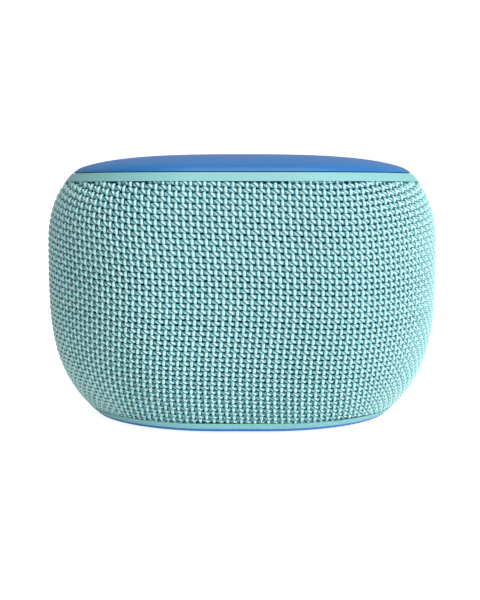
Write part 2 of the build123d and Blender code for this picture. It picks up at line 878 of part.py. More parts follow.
def driver_terminal():
    """The strip on the basket where the leads are soldered."""
    half = terminal_width / 2
    rear_y = terminal_rear_y()
    low, high = driver_z, terminal_top_z + wire_radius * 2
    strip = block(-half, half, rear_y - top_plate_thickness + fit_gap, rear_y, low, high)
    return strip - outward(-cabinet_half) * disc(yoke_radius, -cabinet_half, 1)


def terminal_rear_y():
    """The rear face of the terminal strip, just ahead of the magnet."""
    _, magnet_front, _, _ = magnet_levels()
    return -cabinet_half - magnet_front - fit_gap


def lead_grommet():
    """The rubber bush that seals the leads where they cross the lid."""
    low, high = cabinet_rim_z + lid_seal, lid_top_z
    bush = disc(grommet_radius - 1, low, high, 0, grommet_y)
    bush += disc(grommet_radius, high, high + 0.8, 0, grommet_y)
    for shift in (-wire_spacing / 2, wire_spacing / 2):
        for y in (grommet_y - lead_row_y, grommet_y + lead_row_y):
            bush -= disc(wire_radius + 0.02, low - 1, high + 2, shift, y)
    return bush


def port_leads():
    """The two charging leads, from the port board up to the main board's edge."""
    y0 = cabinet_half + 1.6
    top = port_z - usb_height / 2
    over = lid_top_z + 1.3
    points = [(0, y0, top), (0, y0, over), (0, board_half - 2, over), (0, board_half - 2, board_z)]
    return lead_pair(points, [1.6, 0.7])


def build():
    """Every part of the speaker by node name."""
    outer = cover_body()
    parts = {
        "fabric_cover": fabric_cover(),
        "grille_frame": grille_frame(),
        "upper_trim_ring": upper_trim_ring(),
        "lower_trim_ring": lower_trim_ring(),
        "base_plate": base_plate(),
        "foot_pad": foot_pad(),
        "base_screws": base_screws(),
        "top_cover": top_cover(outer),
        "status_light_pipe": status_light_pipe(outer),
        "cabinet_tub": cabinet_tub(),
        "cabinet_lid": cabinet_lid(),
        "lid_gasket": lid_gasket(),
        "driver_gasket": driver_gasket(),
        "driver_basket": driver_basket(),
        "driver_surround": driver_surround(),
        "driver_cone": driver_cone(),
        "driver_dust_cap": driver_dust_cap(),
        "driver_voice_coil": driver_voice_coil(),
        "driver_top_plate": driver_top_plate(),
        "driver_magnet": driver_magnet(),
        "driver_yoke": driver_yoke(),
        "driver_screws": driver_screws(),
        "driver_terminal": driver_terminal(),
        "battery": battery(),
        "battery_pad": battery_pad(),
        "battery_leads": battery_leads(),
        "speaker_leads": speaker_leads(),
        "lead_grommet": lead_grommet(),
        "main_board": main_board(),
        "board_screws": board_screws(),
        "tact_switches": tact_switches(),
        "board_components": board_components(),
        "port_board": port_board(),
        "port_screws": port_screws(),
        "port_leads": port_leads(),
        "usb_shell": usb_shell(),
        "usb_tongue": usb_tongue_part(),
        "port_panel": port_panel(),
        "port_flap": port_flap(),
    }
    for name in keys:
        parts[name] = key(name, outer)
    for side, word in ((-1, "left"), (1, "right")):
        parts[word + "_radiator_frame"] = radiator_frame(side)
        parts[word + "_radiator_surround"] = radiator_surround(side)
        parts[word + "_radiator_plate"] = radiator_plate(side)
        parts[word + "_radiator_weight"] = radiator_weight(side)
    return parts


os.makedirs("parts", exist_ok=True)
for node, shape in build().items():
    export_step(shape, f"parts/{node}.step")
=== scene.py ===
"""Looks of a portable cloth-covered loudspeaker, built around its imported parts.

Metres, +Z up, the front of the speaker towards -Y, the floor at z = 0.
"""

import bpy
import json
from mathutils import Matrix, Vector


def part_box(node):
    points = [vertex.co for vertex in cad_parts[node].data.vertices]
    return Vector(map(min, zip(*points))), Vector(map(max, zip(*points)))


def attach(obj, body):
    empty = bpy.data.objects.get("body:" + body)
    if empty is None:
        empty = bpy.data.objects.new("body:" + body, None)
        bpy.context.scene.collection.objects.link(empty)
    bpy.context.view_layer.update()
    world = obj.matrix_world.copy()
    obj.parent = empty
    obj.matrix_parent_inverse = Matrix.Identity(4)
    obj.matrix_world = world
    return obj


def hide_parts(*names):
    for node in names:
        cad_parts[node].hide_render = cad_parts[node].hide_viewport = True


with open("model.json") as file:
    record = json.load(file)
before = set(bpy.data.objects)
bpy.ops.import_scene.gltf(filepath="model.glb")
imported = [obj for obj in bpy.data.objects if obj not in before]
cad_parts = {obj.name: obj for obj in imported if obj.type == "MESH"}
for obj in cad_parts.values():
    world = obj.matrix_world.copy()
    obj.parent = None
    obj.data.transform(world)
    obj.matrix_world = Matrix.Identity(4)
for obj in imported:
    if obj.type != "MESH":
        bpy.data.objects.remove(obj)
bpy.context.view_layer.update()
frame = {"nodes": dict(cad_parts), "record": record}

import json
import logging
import math
from dataclasses import dataclass, field
from enum import Enum
from typing import NamedTuple

import bpy
import numpy as np

Array = np.ndarray
Colour = tuple[float, float, float]
Range = tuple[float, float]
Socket = bpy.types.NodeSocket
Tree = bpy.types.NodeTree

LOG = logging.getLogger("loudspeaker")
MM = 0.001
BODY = "body"
BAKE_MAP = "OFBake"
# Where noise counts as dark and as light
MASK_LOW, MASK_HIGH = 0.3, 0.7
# The colour sockets of the mix node
MIX_FACTOR, MIX_FIRST, MIX_SECOND, MIX_RESULT = 0, 6, 7, 2
WHITE = (1.0, 1.0, 1.0, 1.0)


# Shared helpers


def grey(value: float) -> tuple[float, float, float, float]:
    """A linear grey with an alpha of 1."""
    return (value, value, value, 1.0)


def linear(colour: Colour, share: float = 1.0) -> tuple[float, float, float, float]:
    """Converts a display colour to a linear one.

    Args:
        colour: red, green and blue from 0 to 255.
        share: how much of its light to keep.

    Returns:
        Linear red, green, blue and an alpha of 1.
    """
    channels = []
    for value in colour:
        light = value * share / 255
        channels.append(light / 12.92 if light <= 0.04045 else ((light + 0.055) / 1.055) ** 2.4)
    return (*channels, 1.0)


def smoothstep(values: Array, low: float, high: float) -> Array:
    """A soft step from 0 at low to 1 at high."""
    share = np.clip((values - low) / (high - low), 0, 1)
    return share * share * (3 - 2 * share)


class Coordinates(Enum):
    """Where a finish takes its pattern's coordinates from."""

    OBJECT = "Object"
    YARN = "yarn"


class NodeBench:
    """A shader node tree and the steps that add to it."""

    def __init__(self, tree: Tree) -> None:
        """Takes the tree to work on."""
        self.tree = tree

    def feed(self, socket: Socket, value: object) -> None:
        """Feeds an input.

        Args:
            socket: the input.
            value: a socket or a plain value.
        """
        if isinstance(value, Socket):
            self.tree.links.new(value, socket)
        else:
            socket.default_value = value

    def node(self, kind: str, links: dict | None = None, **settings: object) -> bpy.types.Node:
        """Adds a shader node.

        Args:
            kind: the node's type after "ShaderNode".
            links: input name or number to a socket, or to a plain value.
            settings: attributes of the node.

        Returns:
            The new node.
        """
        node = self.tree.nodes.new("ShaderNode" + kind)
        for name, value in settings.items():
            setattr(node, name, value)
        for name, value in (links or {}).items():
            self.feed(node.inputs[name], value)
        return node

    def maths(self, operation: str, first: object, second: object = 0.0) -> Socket:
        """Adds a maths node on two sockets or numbers and returns its result."""
        return self.node("Math", {0: first, 1: second}, operation=operation).outputs[0]

    def span(self, mask: Socket, low: float, high: float) -> Socket:
        """Stretches a mask so that low becomes 0 and high becomes 1."""
        return self.node("MapRange", {0: mask, 1: low, 2: high}).outputs[0]

    def mix(self, factor: object, first: object, second: object) -> Socket:
        """Mixes two colours: a factor of 0 gives the first, 1 the second."""
        links = {MIX_FACTOR: factor, MIX_FIRST: first, MIX_SECOND: second}
        return self.node("Mix", links, data_type="RGBA").outputs[MIX_RESULT]


# Effects shared by the finishes


class Group(NodeBench):
    """A shader node group, built once and placed in many materials, that follows a vector."""

    def __init__(self, name: str, **inputs: float) -> None:
        """Starts a group.

        Args:
            name: the group's name.
            inputs: its number inputs besides the vector, with their starting values.
        """
        super().__init__(bpy.data.node_groups.new(name, "ShaderNodeTree"))
        entry = self.tree.nodes.new("NodeGroupInput")
        self.exit = self.tree.nodes.new("NodeGroupOutput")
        self.tree.interface.new_socket(name="Vector", in_out="INPUT", socket_type="NodeSocketVector")
        for title, value in inputs.items():
            socket = self.tree.interface.new_socket(
                name=title, in_out="INPUT", socket_type="NodeSocketFloat"
            )
            socket.default_value = value
        self.given = entry.outputs

    def take(self, name: str, source: Socket) -> None:
        """Adds a number output fed by source."""
        self.tree.interface.new_socket(name=name, in_out="OUTPUT", socket_type="NodeSocketFloat")
        self.tree.links.new(source, self.exit.inputs[name])


def build_fine_grain() -> Tree:
    """The spark-eroded grain of moulded parts: a relief, and a tone that follows it.

    Returns:
        The group, with inputs Vector and Scale.
    """
    wave_share, pit_weight = 0.37, 0.7
    group = Group("fine_grain", Scale=9000.0)
    vector, scale = group.given["Vector"], group.given["Scale"]
    pits = group.node("TexVoronoi", {"Vector": vector, "Scale": scale}, feature="SMOOTH_F1")
    coarse = group.maths("MULTIPLY", scale, wave_share)
    waves = group.node("TexNoise", {"Vector": vector, "Scale": coarse, "Detail": 3.0}).outputs["Fac"]
    depth = group.maths("MULTIPLY", pits.outputs["Distance"], pit_weight)
    group.take("Relief", group.maths("ADD", depth, waves))
    group.take("Tone", waves)
    return group.tree


def build_handling() -> Tree:
    """Soft patches where hands have left the surface a little shinier.

    Returns:
        The group, with inputs Vector and Scale.
    """
    patch_weight, speck_weight, speck_fineness = 0.8, 0.2, 14.0
    group = Group("handling", Scale=45.0)
    vector, scale = group.given["Vector"], group.given["Scale"]
    patch = group.node("TexNoise", {"Vector": vector, "Scale": scale, "Detail": 4.0, "Roughness": 0.6})
    fine_scale = group.maths("MULTIPLY", scale, speck_fineness)
    speck = group.node("TexNoise", {"Vector": vector, "Scale": fine_scale, "Detail": 2.0})
    large = group.maths("MULTIPLY", patch.outputs["Fac"], patch_weight)
    small = group.maths("MULTIPLY", speck.outputs["Fac"], speck_weight)
    group.take("Patch", group.maths("ADD", large, small))
    return group.tree


def build_fibre() -> Tree:
    """Fine fibres that run along a twisted yarn: a relief and a tone.

    Returns:
        The group, with inputs Vector, Slant and Count.
    """
    stretch, tangle_scale, stripe_weight = 0.6, 5.0, 0.25
    group = Group("fibre", Slant=1.0, Count=7.0)
    along, around, _ = group.node("SeparateXYZ", {0: group.given["Vector"]}).outputs
    turned = group.maths("SUBTRACT", around, group.maths("MULTIPLY", along, group.given["Slant"]))
    angle = group.maths("MULTIPLY", turned, 2 * math.pi)
    stripe = group.maths("SINE", group.maths("MULTIPLY", angle, group.given["Count"]))
    sine, cosine = group.maths("SINE", angle), group.maths("COSINE", angle)
    place = group.node("CombineXYZ", {0: group.maths("MULTIPLY", along, stretch), 1: sine, 2: cosine})
    pattern = {"Vector": place.outputs[0], "Scale": tangle_scale, "Detail": 3.0}
    tangle = group.node("TexNoise", pattern).outputs["Fac"]
    group.take("Relief", group.maths("ADD", group.maths("MULTIPLY", stripe, stripe_weight), tangle))
    group.take("Tone", tangle)
    return group.tree


def build_plies() -> Tree:
    """The rounded backs of a yarn's plies and the grooves between them, as a mask.

    Returns:
        The group, with inputs Vector, Plies and Phase.
    """
    group = Group("plies", Plies=3.0, Phase=0.0)
    parts = group.node("SeparateXYZ", {0: group.given["Vector"]})
    around = group.maths("SUBTRACT", parts.outputs[1], group.given["Phase"])
    turned = group.maths("MULTIPLY", group.maths("MULTIPLY", around, math.pi), group.given["Plies"])
    group.take("Back", group.maths("ABSOLUTE", group.maths("COSINE", turned)))
    return group.tree


def build_lift() -> Tree:
    """How high a yarn rides at each place: 1 where it lies on top, 0 where it dives under.

    Returns:
        The group, with the input Vector.
    """
    group = Group("lift")
    parts = group.node("SeparateXYZ", {0: group.given["Vector"]})
    wave = group.maths("COSINE", group.maths("MULTIPLY", parts.outputs[0], 2 * math.pi))
    group.take("Lift", group.maths("MULTIPLY", group.maths("ADD", wave, 1.0), 0.5))
    return group.tree


@dataclass
class EffectShelf:
    """The node groups, built once."""

    grain: Tree = field(default_factory=build_fine_grain)
    handling: Tree = field(default_factory=build_handling)
    fibre: Tree = field(default_factory=build_fibre)
    plies: Tree = field(default_factory=build_plies)
    lift: Tree = field(default_factory=build_lift)


EFFECTS = EffectShelf()


class Sheet(NodeBench):
    """A new material's node tree with its Principled BSDF, ready to be dressed."""

    def __init__(self, name: str, source: Coordinates = Coordinates.OBJECT) -> None:
        """Opens a material.

        Args:
            name: the material's name.
            source: what its patterns follow.
        """
        self.material = bpy.data.materials.new(name)
        self.material.use_nodes = True
        super().__init__(self.material.node_tree)
        self.shader = self.tree.nodes["Principled BSDF"]
        if source is Coordinates.OBJECT:
            self.place = self.node("TexCoord").outputs["Object"]
        else:
            self.place = self.node("UVMap", uv_map=source.value).outputs["UV"]

    def effect(self, group: Tree, **values: float) -> bpy.types.NodeOutputs:
        """Places a shared effect with this material's own values.

        Args:
            group: the effect.
            values: its inputs, by name in lower case.

        Returns:
            The effect's outputs.
        """
        node = self.node("Group", node_tree=group)
        self.feed(node.inputs["Vector"], self.place)
        for name, value in values.items():
            self.feed(node.inputs[name.capitalize()], value)
        return node.outputs

    def tint(
        self, mask: Socket, dark: tuple, light: tuple, low: float = MASK_LOW, high: float = MASK_HIGH
    ) -> Socket:
        """Colours between dark and light as the mask goes from low to high."""
        return self.mix(self.span(mask, low, high), dark, light)

    def roughen(self, mask: Socket, low: float, high: float) -> None:
        """Lets the roughness follow a mask."""
        ramp = self.node("MapRange", {0: mask, 1: MASK_LOW, 2: MASK_HIGH, 3: low, 4: high})
        self.feed(self.shader.inputs["Roughness"], ramp.outputs[0])

    def raise_relief(self, height: Socket, depth: float, strength: float) -> None:
        """Turns a relief into the shader's normal."""
        bump = self.node("Bump", {"Height": height, "Distance": depth, "Strength": strength})
        self.feed(self.shader.inputs["Normal"], bump.outputs[0])

    def colour(self, socket: Socket) -> None:
        """Feeds the base colour."""
        self.feed(self.shader.inputs["Base Color"], socket)

    def fix(self, **values: float) -> None:
        """Sets plain numbers on the shader's own sockets, by name with underscores."""
        for name, value in values.items():
            socket = name.replace("_", " ").title().replace("Ior", "IOR")
            self.shader.inputs[socket].default_value = value


# Finishes


@dataclass(frozen=True)
class MouldedFinish:
    """Moulded plastic or rubber with a fine grain and faint handling marks.

    Attributes:
        name: the material's name.
        colour: display colour of the lit surface.
        shade: share of the colour left in its darker patches.
        roughness: lowest and highest roughness.
        grain: grain scale, in cells per metre.
        depth: grain depth in metres.
        strength: how strongly the grain turns the light.
        sheen: weight of a soft-touch sheen.
    """

    name: str
    colour: Colour
    shade: float = 0.92
    roughness: Range = (0.38, 0.46)
    grain: float = 7000.0
    depth: float = 0.00002
    strength: float = 0.6
    sheen: float = 0.0

    def build(self) -> bpy.types.Material:
        """Makes the material.

        Returns:
            The new material.
        """
        sheet = Sheet(self.name)
        grain = sheet.effect(EFFECTS.grain, scale=self.grain)
        handling = sheet.effect(EFFECTS.handling)
        dark, light = linear(self.colour, self.shade), linear(self.colour)
        sheet.colour(sheet.tint(handling["Patch"], dark, light))
        sheet.roughen(handling["Patch"], *self.roughness)
        sheet.raise_relief(grain["Relief"], self.depth, self.strength)
        sheet.fix(sheen_weight=self.sheen)
        return sheet.material


@dataclass(frozen=True)
class YarnFinish:
    """Glossy synthetic yarn whose fibres follow the twist, with painted shade and highlights.

    Attributes:
        name: the material's name.
        colour: display colour of the lit yarn.
        deep: display colour of the painted, bluish shade in the grooves and where the yarn dives.
        painted_highlight: display colour of the painted highlight along the yarn's backs.
        slant: turns of the fibres for each millimetre of yarn.
        fibres: fibre bundles around the yarn.
        plies: plies twisted together.
        phase: share of a turn at which the first ply's back lies.
        groove: where the mask goes from the painted shade to the yarn's colour.
        back: where the mask goes from the yarn's colour to the painted highlight.
        rise: between which lifts the painted highlight comes in.
        dive: between which lifts the painted shade of a diving yarn gives way to the yarn's colour.
        tuft: how much the fibres blur the edges of the plies.
        roughness: between the fibres and on them.
        depth: of the fibres' relief in metres.
        strength: how strongly the relief turns the light.
        gloss: specular level.
    """

    name: str
    colour: Colour
    deep: Colour
    painted_highlight: Colour
    slant: float
    fibres: float
    plies: float = 3.0
    phase: float = 0.0
    groove: Range = (0.1, 0.65)
    back: Range = (0.55, 0.92)
    rise: Range = (0.35, 0.85)
    dive: Range = (-0.25, 0.4)
    tuft: float = 0.5
    roughness: Range = (0.4, 0.3)
    depth: float = 0.00004
    strength: float = 0.6
    gloss: float = 0.7

    def build(self) -> bpy.types.Material:
        """Makes the material.

        Returns:
            The new material.
        """
        sheet = Sheet(self.name, Coordinates.YARN)
        fibre = sheet.effect(EFFECTS.fibre, slant=self.slant, count=self.fibres)
        plies = sheet.effect(EFFECTS.plies, plies=self.plies, phase=self.phase)
        blur = sheet.maths("MULTIPLY", sheet.maths("SUBTRACT", fibre["Tone"], 0.5), self.tuft)
        mask = sheet.maths("ADD", plies["Back"], blur)
        # The yarn's colour with painted shade in the grooves between its plies
        own = sheet.tint(mask, linear(self.deep), linear(self.colour), *self.groove)
        lift = sheet.effect(EFFECTS.lift)["Lift"]
        # Painted highlight on the ply backs, only where the yarn rides on top
        lit = sheet.maths("MULTIPLY", sheet.span(mask, *self.back), sheet.span(lift, *self.rise))
        painted_highlight = sheet.mix(lit, own, linear(self.painted_highlight))
        # Painted shade over the whole yarn where it dives under the crossing yarns
        sheet.colour(sheet.mix(sheet.span(lift, *self.dive), linear(self.deep), painted_highlight))
        sheet.roughen(fibre["Tone"], *self.roughness)
        sheet.raise_relief(fibre["Relief"], self.depth, self.strength)
        sheet.fix(specular_ior_level=self.gloss)
        return sheet.material


@dataclass(frozen=True)
class MetalFinish:
    """Drawn, cast or wound metal with fine lines.

    Attributes:
        name: the material's name.
        colour: display colour of the metal.
        stretch: how many times finer the lines are along each axis.
        roughness: lowest and highest roughness.
        metallic: 1 for bare metal, less for a coated one.
        depth: of the lines in metres.
        lines: fine lines per metre.
        shade: share of the colour left in the lines.
        handling: scale of the handling marks.
    """

    name: str
    colour: Colour
    stretch: tuple[float, float, float] = (1.0, 1.0, 14.0)
    roughness: Range = (0.25, 0.45)
    metallic: float = 1.0
    depth: float = 0.00001
    lines: float = 1500.0
    shade: float = 0.8
    handling: float = 90.0

    def build(self) -> bpy.types.Material:
        """Makes the material.

        Returns:
            The new material.
        """
        sheet = Sheet(self.name)
        scaled = sheet.node("Mapping", {"Vector": sheet.place, "Scale": self.stretch})
        pattern = {"Vector": scaled.outputs[0], "Scale": self.lines, "Detail": 4.0}
        lines = sheet.node("TexNoise", pattern)
        handling = sheet.effect(EFFECTS.handling, scale=self.handling)
        dark, light = linear(self.colour, self.shade), linear(self.colour)
        sheet.colour(sheet.tint(lines.outputs["Fac"], dark, light))
        sheet.roughen(handling["Patch"], *self.roughness)
        sheet.raise_relief(lines.outputs["Fac"], self.depth, 0.5)
        sheet.fix(metallic=self.metallic)
        return sheet.material


@dataclass(frozen=True)
class FoamFinish:
    """Open-cell foam: dark cells in a soft grey mass, with so many cells to the metre."""

    name: str
    colour: Colour
    cells: float = 2600.0
    shade: float = 0.45
    depth: float = 0.00012

    def build(self) -> bpy.types.Material:
        """Makes the material.

        Returns:
            The new material.
        """
        sheet = Sheet(self.name)
        pattern = {"Vector": sheet.place, "Scale": self.cells}
        cells = sheet.node("TexVoronoi", pattern, feature="SMOOTH_F1")
        handling = sheet.effect(EFFECTS.handling, scale=60.0)
        dark = linear(self.colour, self.shade)
        sheet.colour(sheet.tint(cells.outputs["Distance"], linear(self.colour), dark, 0.2, 0.8))
        sheet.roughen(handling["Patch"], 0.85, 0.95)
        sheet.raise_relief(cells.outputs["Distance"], self.depth, 0.8)
        return sheet.material


@dataclass(frozen=True)
class BoardFinish:
    """Circuit board: solder mask over faint traces round so many fields to the metre."""

    name: str
    colour: Colour
    trace: Colour
    fields: float = 420.0
    trace_edges: Range = (0.03, 0.06)
    depth: float = 0.00002

    def build(self) -> bpy.types.Material:
        """Makes the material.

        Returns:
            The new material.
        """
        sheet = Sheet(self.name)
        pattern = {"Vector": sheet.place, "Scale": self.fields, "Randomness": 0.55}
        lattice = sheet.node("TexVoronoi", pattern, feature="DISTANCE_TO_EDGE")
        handling = sheet.effect(EFFECTS.handling, scale=60.0)
        edge = sheet.span(lattice.outputs["Distance"], *self.trace_edges)
        sheet.colour(sheet.mix(edge, linear(self.trace), linear(self.colour)))
        sheet.roughen(handling["Patch"], 0.3, 0.4)
        sheet.raise_relief(edge, self.depth, 0.6)
        return sheet.material


@dataclass(frozen=True)
class ClearFinish:
    """Frosted clear plastic for the light pipe."""

    name: str
    colour: Colour
    shade: float = 0.93
    clearness: float = 0.35

    def build(self) -> bpy.types.Material:
        """Makes the material.

        Returns:
            The new material.
        """
        sheet = Sheet(self.name)
        handling = sheet.effect(EFFECTS.handling, scale=400.0)
        dark, light = linear(self.colour, self.shade), linear(self.colour)
        sheet.colour(sheet.tint(handling["Patch"], dark, light))
        sheet.roughen(handling["Patch"], 0.3, 0.42)
        sheet.fix(transmission_weight=self.clearness)
        return sheet.material


AQUA = (150, 214, 216)
CAP_BLUE = (38, 128, 206)
FINISHES = (
    MouldedFinish("blue_frame", (52, 118, 186), roughness=(0.5, 0.6)),
    MouldedFinish("aqua_trim", AQUA, shade=0.97, roughness=(0.42, 0.5), depth=0.000012),
    MouldedFinish("blue_shell", CAP_BLUE, shade=0.96, roughness=(0.4, 0.47), depth=0.00001),
    MouldedFinish("foot_rubber", (40, 78, 118), roughness=(0.7, 0.8), depth=0.00006, grain=4000.0),
    MetalFinish("screw_steel", (180, 182, 186)),
    ClearFinish("clear_pipe", (232, 242, 246)),
    MouldedFinish("cabinet_plastic", (38, 40, 43), roughness=(0.5, 0.6), depth=0.00004),
    FoamFinish("foam", (70, 70, 74)),
    MetalFinish("basket_steel", (46, 47, 50), metallic=0.3, roughness=(0.35, 0.5)),
    MouldedFinish("roll_rubber", (28, 28, 29), roughness=(0.55, 0.65), depth=0.00003),
    MouldedFinish("cone_paper", (52, 52, 56), roughness=(0.6, 0.75), depth=0.00008, grain=2500.0),
    MetalFinish("coil_winding", (196, 112, 60), stretch=(1.0, 12.0, 1.0), roughness=(0.25, 0.35)),
    MouldedFinish("ferrite", (62, 62, 65), roughness=(0.6, 0.75), depth=0.00008, grain=3000.0),
    BoardFinish("circuit_board", (24, 92, 62), (70, 138, 96)),
    MetalFinish("battery_wrap", (186, 190, 198), stretch=(1.0, 1.0, 1.5), roughness=(0.3, 0.5)),
    MouldedFinish("lead_sleeve", (170, 38, 34), roughness=(0.4, 0.5), depth=0.00001),
    MouldedFinish("switch_plastic", (44, 44, 47), roughness=(0.4, 0.5)),
    MetalFinish("socket_steel", (206, 208, 212), roughness=(0.18, 0.3)),
    MouldedFinish("flap_rubber", (48, 116, 180), roughness=(0.55, 0.65), depth=0.00003, sheen=0.1),
)
# The yarn's colour, then its painted shade, then its painted highlight
PLIED_YARN = YarnFinish(
    "plied_yarn", (110, 230, 234), (30, 138, 162), (248, 255, 255), slant=3.0, fibres=9.0
)
# The yarn's colour, painted shade on its inner side and where it dives, painted highlight on its outer
# side, which phase 0.25 keeps facing out
SMOOTH_YARN = YarnFinish(
    "smooth_yarn",
    (98, 208, 214),
    (20, 114, 140),
    (204, 250, 246),
    slant=0.0,
    fibres=8.0,
    plies=1.0,
    phase=0.25,
    dive=(0.15, 0.8),
)


# The body's form and the cloth on it


@dataclass
class BodyForm:
    """The rounded-square form that the cloth is stretched over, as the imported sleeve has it."""

    corner_radius: float = 31.0 * MM
    widest_z: float = 39.3 * MM
    upper_draw_in: float = 5.1 * MM
    lower_draw_in: float = 9.75 * MM
    upper_fullness: float = 3.0
    lower_fullness: float = 3.55
    overrun: float = 1.2
    half_width: float = 0.0
    top_z: float = 0.0
    base_z: float = 0.0

    def __post_init__(self) -> None:
        """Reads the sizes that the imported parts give."""
        low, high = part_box("fabric_cover")
        self.half_width = (high.x - low.x) / 2
        self.top_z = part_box("upper_trim_ring")[1].z
        self.base_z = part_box("base_plate")[0].z

    def half(self, z: Array) -> Array:
        """Half the body's width.

        Args:
            z: heights.

        Returns:
            Half the width at each height.
        """
        above = np.clip((z - self.widest_z) / (self.top_z - self.widest_z), 0, self.overrun)
        below = np.clip((self.widest_z - z) / (self.widest_z - self.base_z), 0, self.overrun)
        draw = self.upper_draw_in * above**self.upper_fullness
        return self.half_width - draw - self.lower_draw_in * below**self.lower_fullness

    def slope(self, z: Array) -> Array:
        """How fast the half width grows with height."""
        step = 0.1 * MM
        return (self.half(z + step) - self.half(z - step)) / (2 * step)

    def quarter(self, half: Array) -> Array:
        """Outline length from the middle of the front to the middle of a side."""
        return 2 * (half - self.corner_radius) + self.corner_radius * math.pi / 2

    def point(self, arc: Array, half: Array) -> tuple[Array, ...]:
        """A point on one quarter of the outline.

        Args:
            arc: distance along the outline from the middle of the front.
            half: half the outline's width.

        Returns:
            Sideways and forward distances from the axis, and the outward normal's two parts.
        """
        straight = half - self.corner_radius
        bend = self.corner_radius * math.pi / 2
        angle = np.clip((arc - straight) / self.corner_radius, 0, math.pi / 2)
        across = np.minimum(arc, straight) + self.corner_radius * np.sin(angle)
        ahead = straight + self.corner_radius * np.cos(angle) - np.maximum(arc - straight - bend, 0)
        return across, ahead, np.sin(angle), np.cos(angle)


@dataclass
class Weave:
    """Where the sleeve's yarns lie: upright ends and crosswise picks over the body's form.

    A place on the cloth is (end, pick): the number of the upright yarn, counted from the middle of
    the front, and the number of the crosswise yarn, counted up from a set height. Places between
    yarns have fractions.
    """

    form: BodyForm
    ends: int = 208
    pick_pitch: float = 1.27 * MM
    tight_below: float = 38.0 * MM
    tightening: float = 0.0075
    rise_at_sides: float = 6.9 * MM
    rise_from: float = 5.0 * MM
    rise_over: float = 50.0 * MM
    rise_power: float = 1.2
    skew: float = 0.031
    sway: float = 0.55 * MM
    sway_length: float = 42.0 * MM
    sway_crest: float = 32.0 * MM
    ease_start: float = 0.3
    ease_end: float = 0.45
    rounds: int = 3

    def front_height(self, pick: Array) -> Array:
        """Height of a pick at the middle of the front, with picks closer together low down.

        Args:
            pick: number of the crosswise yarn.

        Returns:
            The height.
        """
        reach = self.pick_pitch / self.tightening
        low = self.tight_below - reach * (1 - np.exp(self.tightening * np.minimum(pick, 0)))
        return np.where(pick > 0, self.tight_below + self.pick_pitch * pick, low)

    def eased(self, share: Array) -> Array:
        """How much of the sides' closing up has happened.

        Args:
            share: share of the quarter from the middle of the front.

        Returns:
            0 at the middle of the front to 1 at the middle of the side.
        """
        span = self.ease_end - self.ease_start
        step = np.clip((share - self.ease_start) / span, 0, 1)
        total = 1 - self.ease_end + span / 2
        return (span * (step**3 - step**4 / 2) + np.maximum(share - self.ease_end, 0)) / total

    def outline(self, end: Array, z: Array) -> tuple[Array, ...]:
        """Where an end crosses a height.

        Args:
            end: number of the upright yarn.
            z: height.

        Returns:
            x, y, and the outline normal's x and y.
        """
        half = self.form.half(z)
        widest = self.form.quarter(self.form.half_width)
        drift = self.sway * np.cos(2 * math.pi * (z - self.sway_crest) / self.sway_length)
        turn = np.mod(end / self.ends + drift / (4 * widest), 1.0) * 4
        quadrant = np.floor(turn)
        share = turn - quadrant
        share = np.where(quadrant % 2 == 1, 1 - share, share)
        arc = widest * share - (widest - self.form.quarter(half)) * self.eased(share)
        across, ahead, normal_across, normal_ahead = self.form.point(arc, half)
        right = np.where(quadrant < 2, 1.0, -1.0)
        rear = np.where((quadrant == 1) | (quadrant == 2), 1.0, -1.0)
        return across * right, ahead * rear, normal_across * right, normal_ahead * rear

    def height(self, pick: Array, x: Array, y: Array) -> Array:
        """Height of a pick, which climbs round the sides and runs slightly askew.

        Args:
            pick: number of the crosswise yarn.
            x, y: where it passes.

        Returns:
            The height.
        """
        front = self.front_height(pick)
        depth = np.clip(1 - (y / self.form.half(front)) ** 2, 0, 1) ** self.rise_power
        rise = np.clip((front - self.rise_from) / self.rise_over, 0, self.form.overrun)
        return front + self.rise_at_sides * rise * depth - self.skew * x

    def place(self, end: Array, pick: Array) -> tuple[Array, Array]:
        """The cloth's outer surface at (end, pick).

        Args:
            end: number of the upright yarn.
            pick: number of the crosswise yarn.

        Returns:
            Points and outward normals, both with a last axis of 3.
        """
        z = self.front_height(pick) + 0 * end
        for _ in range(self.rounds):
            x, y, _, _ = self.outline(end, z)
            z = self.height(pick, x, y)
        x, y, nx, ny = self.outline(end, z)
        steep = self.form.slope(z)
        size = np.sqrt(1 + steep**2)
        return np.stack((x, y, z), -1), np.stack((nx / size, ny / size, -steep / size), -1)


@dataclass
class Yarn:
    """One kind of yarn.

    Attributes:
        name: what the weaver calls it.
        width: half its width in the plane of the cloth.
        depth: half its depth through the cloth.
        crimp: how far it bends in and out at the crossings.
        profile: angle and reach of each point of its outline, as shares.
        turns: turns of its plies for each crossing, which comes out whole over two crossings.
        phase: share of a turn that its first ply has made where the yarn lies on top.
        steps: lengths that a crossing is divided into.
    """

    name: str
    width: float
    depth: float
    crimp: float
    profile: list[tuple[float, float]]
    turns: float
    phase: float
    steps: int

    def girth(self, pitch: float) -> float:
        """How far it is round the yarn, in pairs of crossings that are pitch apart."""
        return math.pi * (self.width + self.depth) / (2 * pitch)


def plied(plies: int, groove: float, shoulder: float) -> list[tuple[float, float]]:
    """The outline of a plied yarn: a groove and two shoulders for each ply.

    Args:
        plies: how many there are.
        groove: reach of the grooves between them.
        shoulder: how far the shoulders stand from a ply's middle, as a share of half the ply.

    Returns:
        Angle and reach of each point, as shares.
    """
    outline = []
    for ply in range(plies):
        middle = ply / plies
        half = 0.5 / plies
        outline.append((middle - half, groove))
        outline += [(middle - shoulder * half, 1.0), (middle + shoulder * half, 1.0)]
    return outline


